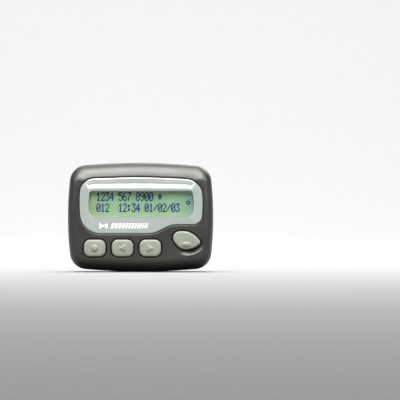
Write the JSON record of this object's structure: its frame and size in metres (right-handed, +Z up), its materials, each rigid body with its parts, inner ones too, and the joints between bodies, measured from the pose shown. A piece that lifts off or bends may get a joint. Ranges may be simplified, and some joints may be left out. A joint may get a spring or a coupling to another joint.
{
  "type": "pager",
  "caption": "Two-line message pager for the belt: bowed plastic case, silver-framed dot-matrix display, push keys, battery door and spring belt clip.",
  "frame": {"origin": "middle of the lower edge's bottom, half way between the front of the keys and the back of the belt clip", "axes": "+X to the viewer's right of the display, +Y from the display to the belt clip, +Z up the case"},
  "size_m": [0.072, 0.0282, 0.054],
  "materials": {
    "case_front": "fine-grained moulded ABS, charcoal",
    "case_back": "fine-grained moulded ABS, near black",
    "bezel_silver": "silver-grey painted, glossy",
    "window_clear": "clear acrylic",
    "key_grey": "soft warm grey, semi-matt",
    "silicone": "translucent silicone",
    "carbon": "conductive carbon rubber",
    "gold": "gold-flashed copper",
    "board_green": "solder-masked glass-epoxy board",
    "frame_white": "moulded white plastic",
    "lcd_green": "reflective yellow-green display",
    "backlight_pale": "electroluminescent sheet",
    "zebra_pink": "layered conductive silicone",
    "steel": "bright steel",
    "tinned": "tinned steel",
    "rubber_black": "black rubber",
    "buzzer_black": "moulded black plastic",
    "phosphor_bronze": "plated strip",
    "chip_black": "moulded epoxy",
    "ceramic_tan": "ceramic and tantalum bodies",
    "cell_wrap": null,
    "nickel": "nickel-plated steel",
    "clip_black": "acetal, near black",
    "label_silver": "blank polyester label"
  },
  "bodies": {
    "case": {"front_housing": "case_front", "rear_housing": "case_back", "bezel": "bezel_silver", "display_window": "window_clear", "dome_select": "silicone", "dome_left": "silicone", "dome_right": "silicone", "dome_read": "silicone", "key_membrane": "silicone", "contact_pads": "gold", "circuit_board": "board_green", "lcd_frame": "frame_white", "lcd_front_glass": "lcd_green", "lcd_rear_glass": "lcd_green", "lcd_polariser": "lcd_green", "lcd_backlight": "backlight_pale", "zebra_strips": "zebra_pink", "vibration_motor": "steel", "motor_boot": "rubber_black", "buzzer": "buzzer_black", "loop_antenna": "phosphor_bronze", "rf_shield": "tinned", "processor_chip": "chip_black", "crystal": "tinned", "capacitors": "ceramic_tan", "cell_can": "cell_wrap", "cell_terminal": "nickel", "battery_spring": "nickel", "battery_plate": "nickel", "case_screws": "steel", "rating_label": "label_silver"},
    "key_select_body": {"key_select": "key_grey", "pill_select": "carbon"},
    "key_left_body": {"key_left": "key_grey", "pill_left": "carbon"},
    "key_right_body": {"key_right": "key_grey", "pill_right": "carbon"},
    "key_read_body": {"key_read": "key_grey", "pill_read": "carbon"},
    "motor_rotor": {"motor_shaft": "steel", "eccentric_weight": "steel"},
    "door": {"battery_door": "case_back"},
    "door_lock": {"battery_lock": "clip_black"},
    "clip_mount": {"clip_carrier": "clip_black", "clip_pin": "steel", "clip_spring": "steel"},
    "clip_arm": {"clip_lever": "clip_black"}
  },
  "joints": [
    {"name": "press_select", "type": "slide", "parent": "case", "child": "key_select_body", "axis": [0, 1, 0], "range_m": [0, 0.0006], "stiffness_N_per_m": 1000, "springref_m": -0.0005, "deforming": ["dome_select"]},
    {"name": "press_left", "type": "slide", "parent": "case", "child": "key_left_body", "axis": [0, 1, 0], "range_m": [0, 0.0006], "stiffness_N_per_m": 1000, "springref_m": -0.0005, "deforming": ["dome_left"]},
    {"name": "press_right", "type": "slide", "parent": "case", "child": "key_right_body", "axis": [0, 1, 0], "range_m": [0, 0.0006], "stiffness_N_per_m": 1000, "springref_m": -0.0005, "deforming": ["dome_right"]},
    {"name": "press_read", "type": "slide", "parent": "case", "child": "key_read_body", "axis": [0, 1, 0], "range_m": [0, 0.0006], "stiffness_N_per_m": 1000, "springref_m": -0.0005, "deforming": ["dome_read"]},
    {"name": "motor_spin", "type": "hinge", "parent": "case", "child": "motor_rotor", "pos_m": [-0.0102, -0.00303, 0.0435], "axis": [1, 0, 0], "continuous": true},
    {"name": "door_slide", "type": "slide", "parent": "case", "child": "door", "axis": [0, 0, 1], "range_m": [0, 0.046]},
    {"name": "door_lock_slide", "type": "slide", "parent": "door", "child": "door_lock", "axis": [1, 0, 0], "range_m": [0, 0.0016]},
    {"name": "clip_off_slide", "type": "slide", "parent": "case", "child": "clip_mount", "axis": [0, 0, 1], "range_m": [0, 0.038]},
    {"name": "clip_hinge", "type": "hinge", "parent": "clip_mount", "child": "clip_arm", "pos_m": [0, 0.01037, 0.0455], "axis": [1, 0, 0], "range_deg": [0, 30], "stiffness_Nm_per_rad": 0.4, "springref_deg": -17.19, "deforming": ["clip_spring"]}
  ]
}
